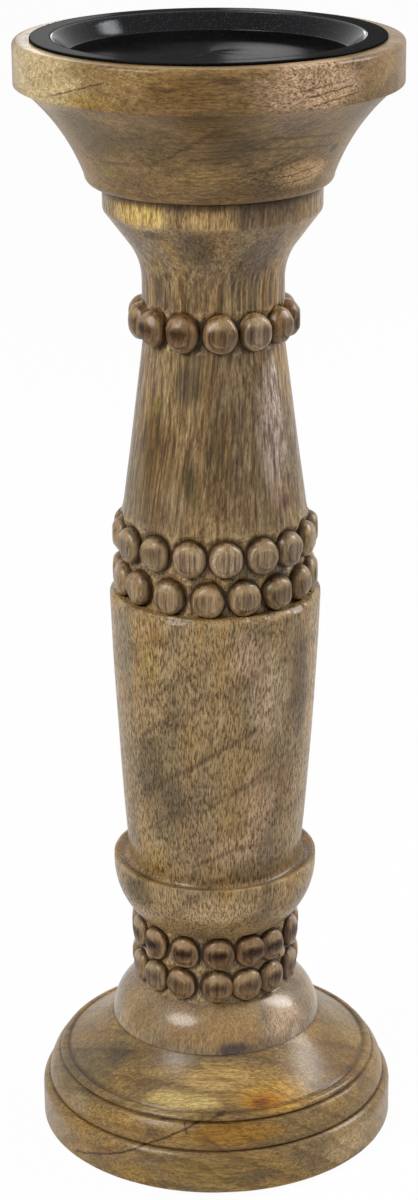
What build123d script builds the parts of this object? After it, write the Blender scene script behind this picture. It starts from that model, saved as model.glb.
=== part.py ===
from build123d import *
import os
from math import atan2, tan

# A turned wooden candle stand: a base, a stem with carved rings of beads, a cup and a loose steel pan.
# Sizes are in millimetres. Z is up, the origin is the centre of the underside, the front faces -Y.

# Felt under the base
felt_thickness = 1.5
felt_inset = 5.0

# Base, from its underside up: plinth with a rounded edge, moulding, groove, ring and hollowed dome
base_radius = 59.7
base_edge_bevel = 0.5
plinth_side = 10.6
plinth_round_height = 3.7
plinth_round_width = 2.0
plinth_step = 0.4
moulding_height = 8.9
moulding_width = 3.3
moulding_bulge = 0.8
groove_step = 0.5
ring_height = 1.8
ring_width = 3.2
ring_bulge = 0.6
dome_height = 12.5
dome_hollow = 0.8

# Stem, from its foot up: flared foot, two bead rows, bowl, column, two bead rows, shaft, one bead row,
# neck, cove, flare and collar. A row's turn is the angle of its first bead from the front, in degrees.
foot_radius = 35.1
foot_height = 14.5
foot_bulge = 2.2
low_ground_radius = 25.8
low_crown_radius = 28.4
low_row_pitch = 12.1
low_row_turns = (0.0, 2.3)
low_bead_count = 15
low_bead_height = 11.8
bowl_height = 20.8
bowl_foot_radius = 26.2
bowl_radius = 33.8
bowl_bulge = 2.4
bowl_lip_depth = 1.6
bowl_lip_land = 1.0
column_foot_radius = 28.6
column_length = 93.0
column_swell = 0.5
shoulder_radius = 34.3
shoulder_bevel = 0.9
mid_ground_radius = 29.7
mid_crown_radius = 33.4
mid_row_pitch = 13.6
mid_row_turns = (-4.3, 7.0)
mid_bead_count = 17
mid_bead_height = 12.4
incised_line_depth = 0.5
shaft_length = 56.5
top_ground_radius = 22.4
top_crown_radius = 27.3
top_row_pitch = 13.6
top_row_turns = (5.7,)
top_bead_count = 14
top_bead_height = 12.8
neck_length = 5.8
cove_length = 11.3
cove_width = 3.4
flare_length = 10.7
collar_radius = 34.4
collar_bevel = 0.8
collar_height = 8.7

# Cup, from its underside up: round edge, cove, step and lip
cup_rim_width = 5.4
cup_foot_radius = 38.9
cup_foot_round = 3.2
cup_cove_height = 30.7
cup_cove_hollow = 2.2
cup_step = 1.8
cup_lip_height = 13.5
cup_lip_round = 1.5

# Pressed steel pan
pan_mouth_radius = 47.6
pan_flange_width = 7.0
pan_wall_run = 4.2
pan_depth = 5.5
pan_sheet = 0.8
pan_bend = 1.2

# Screws and washers
screw_radius = 2.5
screw_length = 50.0
screw_point = 6.0
screw_head_radius = 4.8
screw_head_height = 3.2
drive_length = 5.0
drive_width = 1.1
drive_depth = 1.6
washer_radius = 7.5
washer_thickness = 1.2

# Tenons turned on the ends of the stem
base_tenon_radius = 15.0
base_tenon_length = 16.0
cup_tenon_radius = 15.0
cup_tenon_length = 18.0
tenon_bevel = 1.0

# Clearances
tenon_clearance = 0.15
tenon_end_gap = 0.5
pan_clearance = 0.6
pan_floor_gap = 0.8
pilot_clearance = 0.05
pilot_end_gap = 1.0
hole_clearance = 0.3
counterbore_clearance = 0.5
head_clearance = 0.6
overrun = 1.0

# Radii that follow from the sizes above
pan_floor_radius = pan_mouth_radius - pan_wall_run
pan_radius = pan_mouth_radius + pan_flange_width
cup_radius = pan_radius + cup_rim_width
counterbore_radius = washer_radius + counterbore_clearance

# Heights that follow from the sizes above
base_bottom = felt_thickness
plinth_top = base_bottom + plinth_side + plinth_round_height
moulding_top = plinth_top + moulding_height
ring_top = moulding_top + ring_height
base_top = ring_top + dome_height

low_band_bottom = base_top + foot_height
low_band_top = low_band_bottom + low_row_pitch * len(low_row_turns)
bowl_top = low_band_top + bowl_height
mid_band_bottom = bowl_top + column_length
mid_band_top = mid_band_bottom + mid_row_pitch * len(mid_row_turns)
top_band_bottom = mid_band_top + shaft_length
top_band_top = top_band_bottom + top_row_pitch * len(top_row_turns)
neck_top = top_band_top + neck_length
cove_top = neck_top + cove_length
collar_bottom = cove_top + flare_length
stem_top = collar_bottom + collar_height

cup_bottom = stem_top
cup_cove_top = cup_bottom + cup_cove_height
cup_top = cup_cove_top + cup_lip_height

pan_top = cup_top + pan_sheet
pan_floor_top = pan_top - pan_depth
recess_floor = pan_floor_top - pan_sheet - pan_floor_gap

counterbore_depth = washer_thickness + screw_head_height + head_clearance
cup_counterbore_floor = recess_floor - counterbore_depth
base_counterbore_floor = base_bottom + counterbore_depth
cup_screw_seat = cup_counterbore_floor + washer_thickness
base_screw_seat = base_counterbore_floor - washer_thickness
cup_tenon_top = stem_top + cup_tenon_length
base_tenon_bottom = base_top - base_tenon_length


def turned(*outline):
    """Solid turned about Z from a closed outline of (radius, height) pieces."""
    return revolve(Plane.XZ * make_face(outline), Axis.Z)


def bulge(start, end, height):
    """Arc that swells away from the axis, on an outline drawn upwards."""
    return SagittaArc(start, end, -height)


def hollow(start, end, depth):
    """Arc that sinks towards the axis, on an outline drawn upwards."""
    return SagittaArc(start, end, depth)


def rod(radius, low, high):
    """Upright cylinder on the axis, between two heights."""
    upright = (Align.CENTER, Align.CENTER, Align.MIN)
    return Pos(0, 0, low) * Cylinder(radius, high - low, align=upright)


def make_felt():
    """Felt disc over the underside."""
    return rod(base_radius - felt_inset, 0, felt_thickness)


def make_base():
    """Turned foot, with a socket for the stem above and a counterbored screw hole below."""
    plinth_edge = (base_radius, base_bottom + plinth_side)
    plinth_inner = (base_radius - plinth_round_width, plinth_top)
    moulding_radius = base_radius - plinth_round_width - plinth_step
    moulding_foot = (moulding_radius, plinth_top)
    moulding_head = (moulding_radius - moulding_width, moulding_top)
    ring_radius = moulding_radius - moulding_width - groove_step
    ring_foot = (ring_radius, moulding_top)
    ring_head = (ring_radius - ring_width, ring_top)
    dome_head = (foot_radius, base_top)
    body = turned(
        Polyline(
            (0, base_bottom),
            (base_radius - base_edge_bevel, base_bottom),
            (base_radius, base_bottom + base_edge_bevel),
            plinth_edge,
        ),
        TangentArc(plinth_edge, plinth_inner, tangent=(0, 1)),
        Line(plinth_inner, moulding_foot),
        bulge(moulding_foot, moulding_head, moulding_bulge),
        Line(moulding_head, ring_foot),
        bulge(ring_foot, ring_head, ring_bulge),
        hollow(ring_head, dome_head, dome_hollow),
        Polyline(dome_head, (0, base_top), (0, base_bottom)),
    )
    socket_radius = base_tenon_radius + tenon_clearance
    socket = rod(socket_radius, base_tenon_bottom - tenon_end_gap, base_top + overrun)
    counterbore = rod(counterbore_radius, base_bottom - overrun, base_counterbore_floor)
    screw_hole = rod(screw_radius + hole_clearance, base_bottom, base_top)
    return body - socket - counterbore - screw_hole


def make_stem_blank():
    """Turned column with a tenon at each end, before the beads."""
    foot_edge = (foot_radius, base_top)
    foot_neck = (low_ground_radius, low_band_bottom)
    bowl_foot = (bowl_foot_radius, low_band_top)
    bowl_edge = (bowl_radius, bowl_top)
    column_foot = (column_foot_radius, bowl_top - bowl_lip_depth)
    shoulder = (shoulder_radius, mid_band_bottom)
    shoulder_top = mid_band_bottom + shoulder_bevel
    neck = (top_ground_radius, neck_top)
    flare_start = (top_ground_radius + cove_width, cove_top)
    return turned(
        Polyline(
            (0, base_tenon_bottom),
            (base_tenon_radius - tenon_bevel, base_tenon_bottom),
            (base_tenon_radius, base_tenon_bottom + tenon_bevel),
            (base_tenon_radius, base_top),
            foot_edge,
        ),
        bulge(foot_edge, foot_neck, foot_bulge),
        Polyline(foot_neck, (low_ground_radius, low_band_top), bowl_foot),
        bulge(bowl_foot, bowl_edge, bowl_bulge),
        Polyline(bowl_edge, (bowl_radius - bowl_lip_land, bowl_top), column_foot),
        bulge(column_foot, shoulder, column_swell),
        Polyline(
            shoulder,
            (shoulder_radius - shoulder_bevel, shoulder_top),
            (mid_ground_radius, shoulder_top),
            (mid_ground_radius, mid_band_top),
            (top_ground_radius, top_band_bottom),
            neck,
        ),
        TangentArc(neck, flare_start, tangent=(0, 1)),
        Polyline(
            flare_start,
            (collar_radius - collar_bevel, collar_bottom),
            (collar_radius, collar_bottom + collar_bevel),
            (collar_radius, stem_top),
            (cup_tenon_radius, stem_top),
            (cup_tenon_radius, cup_tenon_top - tenon_bevel),
            (cup_tenon_radius - tenon_bevel, cup_tenon_top),
            (0, cup_tenon_top),
            (0, base_tenon_bottom),
        ),
    )


def bead_rows(band_bottom, row_pitch, row_turns, count, ground_radius, crown_radius, bead_height):
    """Rows of balls, from the lowest up, that show as beads of one height above the ground."""
    rise = crown_radius - ground_radius
    ball_radius = (bead_height * bead_height / 4 + rise * rise) / (2 * rise)
    beads = []
    for row, first_turn in enumerate(row_turns):
        height = band_bottom + (row + 1 / 2) * row_pitch
        for bead in range(count):
            turn = Rot(0, 0, first_turn + 360 * bead / count)
            beads.append(turn * Pos(0, ball_radius - crown_radius, height) * Sphere(ball_radius))
    return beads


def incised_line():
    """Ring of V section that cuts a line between the two middle rows of beads."""
    middle = (mid_band_bottom + mid_band_top) / 2
    tip = (mid_ground_radius - incised_line_depth, middle)
    mouth_radius = mid_ground_radius + incised_line_depth
    mouth_low = (mouth_radius, middle - 2 * incised_line_depth)
    mouth_high = (mouth_radius, middle + 2 * incised_line_depth)
    return turned(Polyline(tip, mouth_low, mouth_high, tip))


def make_stem():
    """Column with its bead rings carved from the same wood, and a pilot hole in each end."""
    beads = bead_rows(
        low_band_bottom, low_row_pitch, low_row_turns, low_bead_count,
        low_ground_radius, low_crown_radius, low_bead_height,
    )
    beads += bead_rows(
        mid_band_bottom, mid_row_pitch, mid_row_turns, mid_bead_count,
        mid_ground_radius, mid_crown_radius, mid_bead_height,
    )
    beads += bead_rows(
        top_band_bottom, top_row_pitch, top_row_turns, top_bead_count,
        top_ground_radius, top_crown_radius, top_bead_height,
    )
    carved = make_stem_blank() - incised_line() + beads
    pilot_radius = screw_radius + pilot_clearance
    pilot_depth = screw_length + pilot_end_gap
    cup_pilot = rod(pilot_radius, cup_screw_seat - pilot_depth, cup_tenon_top + overrun)
    base_pilot = rod(pilot_radius, base_tenon_bottom - overrun, base_screw_seat + pilot_depth)
    return carved - cup_pilot - base_pilot


def make_cup():
    """Turned head with a recess for the pan, a screw counterbore in it and a socket for the stem."""
    foot_start = (cup_foot_radius - cup_foot_round, cup_bottom)
    cove_start = (cup_foot_radius, cup_bottom + cup_foot_round)
    cove_end = (cup_radius - cup_step, cup_cove_top)
    lip_side = (cup_radius, cup_top - cup_lip_round)
    lip_top = (cup_radius - cup_lip_round, cup_top)
    body = turned(
        Line((0, cup_bottom), foot_start),
        TangentArc(foot_start, cove_start, tangent=(1, 0)),
        hollow(cove_start, cove_end, cup_cove_hollow),
        Polyline(cove_end, (cup_radius, cup_cove_top), lip_side),
        TangentArc(lip_side, lip_top, tangent=(0, 1)),
        Polyline(lip_top, (0, cup_top), (0, cup_bottom)),
    )
    recess = rod(pan_mouth_radius + pan_wall_shift() + pan_clearance, recess_floor, cup_top + overrun)
    counterbore = rod(counterbore_radius, cup_counterbore_floor, recess_floor + overrun)
    screw_hole = rod(screw_radius + hole_clearance, cup_bottom, recess_floor)
    socket = rod(cup_tenon_radius + tenon_clearance, cup_bottom - overrun, cup_tenon_top + tenon_end_gap)
    return body - recess - counterbore - screw_hole - socket


def pan_wall_shift():
    """Sideways step from the pan's inner corners to its outer ones, for an even sheet."""
    wall_angle = atan2(pan_depth, pan_wall_run)
    return pan_sheet * tan(wall_angle / 2)


def make_pan():
    """Pressed pan of even sheet: floor, sloped wall and flat flange."""
    shift = pan_wall_shift()
    inside = FilletPolyline(
        (0, pan_floor_top),
        (pan_floor_radius, pan_floor_top),
        (pan_mouth_radius, pan_top),
        (pan_radius, pan_top),
        radius=(pan_bend, pan_bend + pan_sheet),
    )
    outside = FilletPolyline(
        (0, pan_floor_top - pan_sheet),
        (pan_floor_radius + shift, pan_floor_top - pan_sheet),
        (pan_mouth_radius + shift, pan_top - pan_sheet),
        (pan_radius, pan_top - pan_sheet),
        radius=(pan_bend + pan_sheet, pan_bend),
    )
    return turned(inside, Line(inside @ 1, outside @ 1), outside, Line(outside @ 0, inside @ 0))


def make_screw():
    """Wood screw with a domed cross-drive head; the head sits on z = 0 with the point below it."""
    head_side = (screw_head_radius, screw_head_height / 2)
    head_top = (0, screw_head_height)
    body = turned(
        Polyline(
            head_top,
            (0, -screw_length),
            (screw_radius, screw_point - screw_length),
            (screw_radius, 0),
            (screw_head_radius, 0),
            head_side,
        ),
        TangentArc(head_top, head_side, tangent=(1, 0)),
    )
    slot = Pos(0, 0, screw_head_height) * Box(drive_length, drive_width, 2 * drive_depth)
    return body - slot - Rot(0, 0, 90) * slot


def make_washer():
    """Flat washer lying on z = 0."""
    return rod(washer_radius, 0, washer_thickness) - rod(screw_radius + hole_clearance, 0, washer_thickness)


nodes = {
    "felt_disc": make_felt(),
    "base": make_base(),
    "stem": make_stem(),
    "cup": make_cup(),
    "candle_pan": make_pan(),
    "cup_screw": Pos(0, 0, cup_screw_seat) * make_screw(),
    "cup_washer": Pos(0, 0, cup_counterbore_floor) * make_washer(),
    "base_screw": Pos(0, 0, base_screw_seat) * Rot(180, 0, 0) * make_screw(),
    "base_washer": Pos(0, 0, base_screw_seat) * make_washer(),
}

os.makedirs("parts", exist_ok=True)
for name, shape in nodes.items():
    export_step(shape, f"parts/{name}.step")
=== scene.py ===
import math

import bpy
import numpy as np
from mathutils import Matrix, Vector


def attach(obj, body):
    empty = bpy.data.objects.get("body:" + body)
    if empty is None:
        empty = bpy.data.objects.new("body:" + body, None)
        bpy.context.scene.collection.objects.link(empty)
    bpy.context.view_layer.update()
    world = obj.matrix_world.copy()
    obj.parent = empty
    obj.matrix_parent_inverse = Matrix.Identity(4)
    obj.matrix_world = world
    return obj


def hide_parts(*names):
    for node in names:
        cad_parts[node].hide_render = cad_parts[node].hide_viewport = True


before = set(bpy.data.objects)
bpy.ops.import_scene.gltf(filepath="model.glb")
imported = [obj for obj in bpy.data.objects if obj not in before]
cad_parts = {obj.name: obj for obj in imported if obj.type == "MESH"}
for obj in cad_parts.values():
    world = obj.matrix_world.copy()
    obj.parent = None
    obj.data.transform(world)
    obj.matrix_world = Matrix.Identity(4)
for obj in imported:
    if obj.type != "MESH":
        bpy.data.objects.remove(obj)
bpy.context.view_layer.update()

MM = 0.001
rng = np.random.default_rng(41)

# Heights and radii in millimetres, the same as in the CAD model.
FELT_TOP, FELT_RADIUS = 1.5, 54.7
BASE_TOP, BASE_RADIUS = 39.0, 59.7
FOOT_RADIUS = 35.1
LOW_BAND, LOW_GROUND = (53.5, 77.7), 25.8
BOWL_TOP, BOWL_RADIUS = 98.5, 33.8
MID_BAND, MID_GROUND = (191.5, 218.7), 29.7
MID_LINE = (MID_BAND[0] + MID_BAND[1]) / 2
SHOULDER_TOP, SHOULDER_RADIUS = 192.4, 34.3
TOP_BAND, NECK_RADIUS = (275.2, 288.8), 22.4
COLLAR_BOTTOM, STEM_TOP = 316.6, 325.3
COVE_TOP, CUP_TOP, CUP_RADIUS = 356.0, 369.5, 60.0
PAN_TOP, PAN_FLOOR, PAN_SHEET = 370.3, 364.8, 0.8
PAN_FOOT, PAN_MOUTH, PAN_EDGE = 43.4, 47.6, 54.6
TENON_RADIUS, SOCKET_RADIUS = 15.0, 15.15
PILOT_RADIUS, SCREW_HOLE, WASHER_BORE = 2.55, 2.8, 8.0
INNER_RADIUS = 16.5  # the tenons, pilots and sockets lie within it
FLARE = (298.0, 310.0)  # where the neck's upright streaks ease into the flare


# Outlines.

def bow(start, end, swell, count):
    """Points strictly between two ends of a shallow curve; swell is to the right of the way it runs."""
    start, end = np.array(start, float), np.array(end, float)
    run = end - start
    side = np.array((run[1], -run[0])) / np.hypot(*run)
    shares = np.arange(1, count) / count
    return [tuple(start + t * run + 4 * t * (1 - t) * swell * side) for t in shares]


def quarter(start, end, corner, count):
    """Points strictly between two ends of a quarter round that bends about a corner."""
    start, end, corner = (np.array(p, float) for p in (start, end, corner))
    turns = np.arange(1, count) / count * math.pi / 2
    return [tuple(corner + (start - corner) * (1 - math.sin(a)) + (end - corner) * (1 - math.cos(a)))
            for a in turns]


def softened(corners, closed):
    """Outline points from (radius, height, rounding) corners, or (radius, height) for a plain point."""
    out = []
    count = len(corners)
    for i, corner in enumerate(corners):
        here = np.array(corner[:2], float)
        rounding = corner[2] if len(corner) > 2 else 0
        if rounding == 0 or (not closed and i in (0, count - 1)):
            out.append(here)
            continue
        back = np.array(corners[i - 1][:2], float) - here
        ahead = np.array(corners[(i + 1) % count][:2], float) - here
        back_run, ahead_run = np.hypot(*back), np.hypot(*ahead)
        back, ahead = back / back_run, ahead / ahead_run
        opening = math.acos(float(np.clip(back @ ahead, -1, 1)))
        reach = min(rounding / math.tan(opening / 2), 0.45 * back_run, 0.45 * ahead_run)
        for t in np.linspace(0, 1, 5):
            out.append(here + (1 - t) ** 2 * reach * back + t ** 2 * reach * ahead)
    return np.array(out)


def refined(points, step, closed):
    """Divides an outline's long runs, so that shading stays crisp beside a rounded edge."""
    ends = list(points) + ([points[0]] if closed else [])
    out = []
    for a, b in zip(ends[:-1], ends[1:]):
        length = np.hypot(*(b - a))
        middle = (a + b) / 2
        pieces = max(1, math.ceil(length / step(middle[0], middle[1])))
        out += [a + (b - a) * k / pieces for k in range(pieces)]
    if not closed:
        out.append(ends[-1])
    return np.array(out)


# Smooth seeded noise that closes round the axis.

def ring_noise(angle, height, angle_cells, height_step, seed):
    """Smooth noise from -1 to 1 over angle and height, with no seam."""
    source = np.random.default_rng(seed)
    rows = int(400 / height_step) + 3
    grid = source.uniform(-1, 1, (rows, angle_cells))
    across = (angle / (2 * math.pi) * angle_cells) % angle_cells
    along = np.clip(height / height_step, 0, rows - 2.001)
    i, j = along.astype(int), across.astype(int) % angle_cells
    v, u = along - i, across - np.floor(across)
    v, u = v * v * (3 - 2 * v), u * u * (3 - 2 * u)
    k = (j + 1) % angle_cells
    low = grid[i, j] * (1 - u) + grid[i, k] * u
    high = grid[i + 1, j] * (1 - u) + grid[i + 1, k] * u
    return low * (1 - v) + high * v


def smooth_step(value, low, high):
    t = np.clip((value - low) / (high - low), 0, 1)
    return t * t * (3 - 2 * t)


def hump(value, centre, width):
    """1 at the centre, falling off to 0 on both sides."""
    return np.exp(-((value - centre) / width) ** 2)


# Meshes.

def mesh_object(name, points, faces, body, node, marks=()):
    """A piece from points in millimetres, with its per-point marks, riding on a body."""
    mesh = bpy.data.meshes.new(name)
    mesh.from_pydata((points * MM).tolist(), [], faces)
    mesh.polygons.foreach_set("use_smooth", [True] * len(mesh.polygons))
    for mark, values in dict(marks).items():
        layer = mesh.attributes.new(mark, "FLOAT", "POINT")
        layer.data.foreach_set("value", np.ascontiguousarray(values, np.float32))
    mesh.update()
    piece = bpy.data.objects.new(name, mesh)
    bpy.context.scene.collection.objects.link(piece)
    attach(piece, body)
    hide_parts(node)
    return piece


def lathe(corners, closed, step, columns, shift):
    """Points and faces of a turned shape; shift moves radius and height by angle for handwork."""
    outline = refined(softened(corners, closed), step, closed)
    rows = len(outline)
    angle = np.arange(columns) * (2 * math.pi / columns)
    angle = np.repeat(angle[None, :], rows, axis=0)
    radius = np.repeat(outline[:, :1], columns, axis=1)
    height = np.repeat(outline[:, 1:], columns, axis=1)
    radius, height = shift(radius, height, angle)
    points = np.stack((radius * np.cos(angle), radius * np.sin(angle), height), -1).reshape(-1, 3)
    pairs = [(j, (j + 1) % columns) for j in range(columns)]
    faces = []
    last = rows if closed else rows - 1
    for row in range(last):
        a, b = row * columns, (row + 1) % rows * columns
        if not closed and row == 0:
            faces += [(a, b + k, b + j) for j, k in pairs]
        elif not closed and row == last - 1:
            faces += [(a + j, a + k, b) for j, k in pairs]
        else:
            faces += [(a + j, a + k, b + k, b + j) for j, k in pairs]
    used = np.zeros(len(points), bool)  # the repeats at a pole are used by no face, and are dropped
    used[[i for face in faces for i in face]] = True
    place = (np.cumsum(used) - 1).tolist()
    return points[used], [tuple(place[i] for i in face) for face in faces]


# Bead rings of the stem: rows as (height, count, first turn, ground radius, crown radius, bead height).
BEAD_ROWS = (
    (59.55, 15, 0.0, LOW_GROUND, 28.4, 11.8),
    (71.65, 15, 2.3, LOW_GROUND, 28.4, 11.8),
    (197.9, 17, -4.3, MID_GROUND, 33.4, 12.4),
    (211.3, 17, 7.0, MID_GROUND, 33.4, 12.4),
    (282.0, 14, 5.7, NECK_RADIUS, 27.3, 12.8),
)

# The looks of each row: how worn its beads are, how strong the painted dark reflection across their middles is,
# how pale their lower rims and the painted highlight on their tops are, how tall that painted reflection is, and
# how far the ground opens above a bead, which also holds the painted shade back there.
ROW_LOOKS = (
    {"tone": (0.4, 1.0), "core": (0.35, 0.75), "rim": (0.6, 1.0), "thin": 0.27, "open": 0.0},
    {"tone": (0.4, 1.0), "core": (0.90, 1.1), "rim": (0.6, 1.0), "thin": 0.27, "open": 0.0},
    {"tone": (-0.4, 0.3), "core": (0.0, 0.40), "rim": (0.3, 0.9), "thin": 0.32, "open": 0.0},
    {"tone": (-0.4, 0.3), "core": (0.0, 0.40), "rim": (0.3, 0.9), "thin": 0.32, "open": 0.0},
    {"tone": (0.5, 1.2), "core": (0.35, 0.75), "rim": (0.3, 0.9), "thin": 0.32, "open": 1.2},
)
# The carver's uneven pitch, as (bead, degrees off the even pitch) for each row; beads between take their share.
NUDGES = (
    ((0, 1.0), (1, 0.0), (2, -2.0), (3, 0.0), (12, 0.0), (13, -2.0), (14, -2.0)),
    ((0, 0.0), (1, 0.0), (2, -4.0), (3, 0.0), (11, 0.0), (12, -3.0), (13, -4.0), (14, -1.3)),
    ((0, -0.5), (1, 0.9), (2, 2.1), (3, 3.5), (4, 3.5), (14, -6.5), (15, -6.5), (16, -4.0)),
    ((0, -0.4), (1, 1.1), (3, 1.8), (4, 1.8), (14, -6.6), (15, -3.3), (16, -1.5)),
    ((0, -1.0), (1, 2.2), (2, 3.2), (3, 3.7), (4, 4.0), (11, -7.0), (12, -7.0), (13, -4.0)),
)
# Beads with values of their own, for each row.
SINGLE_BEADS = (
    {},
    {0: {"tone": 1.3}, 1: {"tone": 1.2}, 14: {"tone": 1.3}},
    {},
    {},
    {0: {"tone": 0.6, "half_wide": 6.15}, 1: {"tone": -0.3, "core": 0.3, "half_wide": 5.9},
     12: {"tone": 1.2, "core": 0.8}, 13: {"tone": 1.5, "core": 0.75, "half_wide": 6.05}},
)


def bead_list():
    """Each bead's place and its own small differences, as a hand carver leaves them."""
    beads = []
    for row, look, nudges, singles in zip(BEAD_ROWS, ROW_LOOKS, NUDGES, SINGLE_BEADS):
        height, count, first, ground, crown, tall = row
        wide = min(tall, 2 * math.pi * (ground + 0.55 * (crown - ground)) / count - 0.15)
        for i in range(count):
            off_pitch = np.interp(i, *zip(*nudges), period=count)
            beads.append({
                "angle": math.radians(first + 360 * i / count - 90 + off_pitch + rng.uniform(-0.5, 0.5)),
                "height": height + rng.uniform(-0.25, 0.25),
                "ground": ground,
                "crown": crown - rng.uniform(0, 0.30),
                "half_wide": wide / 2 * rng.uniform(0.99, 1.03),
                "half_tall": tall / 2 * rng.uniform(0.94, 0.98),
                "tone": rng.uniform(*look["tone"]),
                "turn": rng.uniform(0, 2 * math.pi),
                "facets": int(rng.integers(6, 9)),
                "slope": rng.uniform(0.50, 0.66),
                "flat": rng.uniform(0.75, 0.82),
                "core": rng.uniform(*look["core"]),
                "thin": look["thin"],
                "open": look["open"],
                "rim": rng.uniform(*look["rim"]),
            })
            beads[-1].update(singles.get(i, {}))
    return beads


BEADS = bead_list()


def soft_least(a, b, width):
    """Smaller of two values, with a soft change-over of the given width."""
    return 0.5 * (a + b - np.sqrt((a - b) ** 2 + width ** 2))


def bead_cap(bead, rings=15, segments=32):
    """A carved button: round outline, steep side, soft bevel facets and a flattish middle."""
    rise = bead["crown"] - bead["ground"]
    share = np.sin(np.linspace(0, 1, rings + 1)[1:] * math.pi / 2)
    turn = np.arange(segments) * (2 * math.pi / segments)
    s, a = np.meshgrid(share, turn, indexing="ij")
    wobble = 1 + 0.016 * np.sin(3 * a + bead["turn"]) + 0.012 * np.sin(5 * a + 2 * bead["turn"])
    u = np.append((s * np.cos(a)).ravel(), 0)
    v = np.append((s * np.sin(a)).ravel(), 0)
    wobble = np.append(wobble.ravel(), 1)
    s = np.append(s.ravel(), 0)
    dome = np.sqrt(np.clip(1 - s ** 2.35, 0, 1))
    bevel = np.full_like(u, 2.0)
    for k in range(bead["facets"]):
        way = bead["turn"] + 2 * math.pi * k / bead["facets"]
        lean = bead["slope"] * (1 + 0.15 * math.sin(2.3 * k + bead["turn"]))
        bevel = soft_least(bevel, 1.10 - lean * (u * math.cos(way) + v * math.sin(way)), 0.03)
    ring = hump(bevel, bead["flat"], 0.022)
    height = soft_least(soft_least(bevel, np.full_like(u, bead["flat"]), 0.03), dome + 0.02, 0.07)
    height = np.clip(height / height.max(), 0, 1)
    sunk = 0.6
    out = bead["ground"] - sunk + (rise + sunk) * height
    across = u * bead["half_wide"] * wobble
    up = v * bead["half_tall"] * wobble
    angle = bead["angle"] + np.arctan2(across, bead["ground"] + 0.55 * rise)
    points = np.stack((out * np.cos(angle), out * np.sin(angle), bead["height"] + up), -1)
    faces = []
    centre = rings * segments
    for j in range(segments):
        k = (j + 1) % segments
        faces.append((centre, j, k))
        for i in range(rings - 1):
            p, q = i * segments, (i + 1) * segments
            faces.append((p + j, q + j, q + k, p + k))
    broken = 0.5 + 0.5 * np.sin(2 * np.arctan2(v, u) + 3 * bead["turn"])
    rim = hump(s, 0.86, 0.06) * smooth_step(u * 0.5 - v * 0.8, -0.5, 0.5)
    fade = np.where(v < 0.12, 1.6, 0.9) * bead["thin"]
    # The core mark is a painted reflection of dark surroundings across the bead's middle; cut adds a dark
    # lower-left arc.
    core = np.exp(-(u / 0.68) ** 4 - ((v - 0.12) / fade) ** 2) * bead["core"]
    cut = hump(s, 0.58, 0.055) * smooth_step(-0.75 * u - 0.65 * v, -0.2, 0.45)
    # The upper part of the bead is made paler: a painted highlight, with some rubbed wear.
    rubbed = smooth_step(v + 0.2 * u * math.sin(bead["turn"]), 0.30, 0.62)
    rubbed = rubbed * smooth_step(0.95 - s, 0.0, 0.15)
    marks = {
        "away": (s - 1) * bead["half_wide"] - bead["open"] * smooth_step(v, 0.3, 0.8),
        "bead": 1 - 0 * s,
        "edge": np.clip(ring * broken * (s < 0.92) + (rim + 0.8 * rubbed) * bead["rim"], 0, 1),
        "tone": np.full_like(s, bead["tone"]),
        "core": np.clip(core + 0.45 * cut, 0, 1),
    }
    return points, faces, marks


def nearest_bead(angle, height, radius):
    """Distance in millimetres outside the nearest bead's outline, negative within it."""
    best = np.full(angle.shape, 99.0)
    for bead in BEADS:
        near = np.abs(height - bead["height"]) < bead["half_tall"] + 6
        if not near.any():
            continue
        swing = (angle - bead["angle"] + math.pi) % (2 * math.pi) - math.pi
        across = swing * radius / bead["half_wide"]
        up = (height - bead["height"]) / bead["half_tall"]
        away = (np.hypot(across, up) - 1) * (bead["half_wide"] + bead["half_tall"]) / 2
        away = away + 0.5 * bead["open"] * smooth_step(up, 0.3, 0.9)
        best = np.where(near, np.minimum(best, away), best)
    return best


def carved_ground(height):
    """1 on the chip-carved ground of a bead band, falling to 0 at its edges."""
    total = np.zeros_like(height)
    for low, high in (LOW_BAND, (SHOULDER_TOP, MID_BAND[1]), TOP_BAND):
        total += smooth_step(height, low - 0.2, low + 0.8) * smooth_step(-height, -high - 0.8, -high + 1.2)
    return np.clip(total, 0, 1)


def stem_shift(radius, height, angle):
    """Handwork on the turned stem: crevices, chip-carved ground, scratched lines and worn edges."""
    outer = radius > INNER_RADIUS
    away = nearest_bead(angle, height, radius)
    ground = carved_ground(height)
    crevice = hump(away, 0.15, 0.75)
    left = smooth_step(away, 0.9, 2.6) * (0.55 + 0.45 * ring_noise(angle, height, 70, 2.6, 5))
    chips = ring_noise(angle, height, 64, 2.9, 6) * 0.28 + ring_noise(angle, height, 130, 1.5, 7) * 0.14
    carve = ground * (-0.55 * crevice + 1.15 * left + chips)
    scratch = hump(height, MID_LINE + 0.5 * ring_noise(angle, height, 40, 30, 8), 0.35)
    carve -= 0.35 * scratch * (np.abs(height - MID_LINE) < 3)
    ledge = hump(height, MID_BAND[0] + 0.2, 1.0) * (radius > 32.0)
    bite = np.clip(ring_noise(angle, height, 62, 40, 9) + 0.2, 0, 1)
    carve -= ledge * (1.15 * bite + 0.12)
    top_edge = hump(height, STEM_TOP, 1.1) * (radius > 33.0)
    carve -= top_edge * 0.5 * np.clip(ring_noise(angle, height, 90, 40, 10), 0, 1)
    lip = hump(height, BOWL_TOP, 0.9) * (radius > 32.5)
    carve -= lip * 0.25 * np.clip(ring_noise(angle, height, 60, 40, 11), 0, 1)
    sway = 0.10 * ring_noise(angle, height, 9, 24, 12)
    radius = radius + outer * (carve + sway * (radius < 34.0))
    return radius, height


def stem_lean(height):
    """Millimetres by which the hand-turned stem leans to its right as it goes up."""
    return 0.90 * smooth_step(height, 60, 220)


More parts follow.
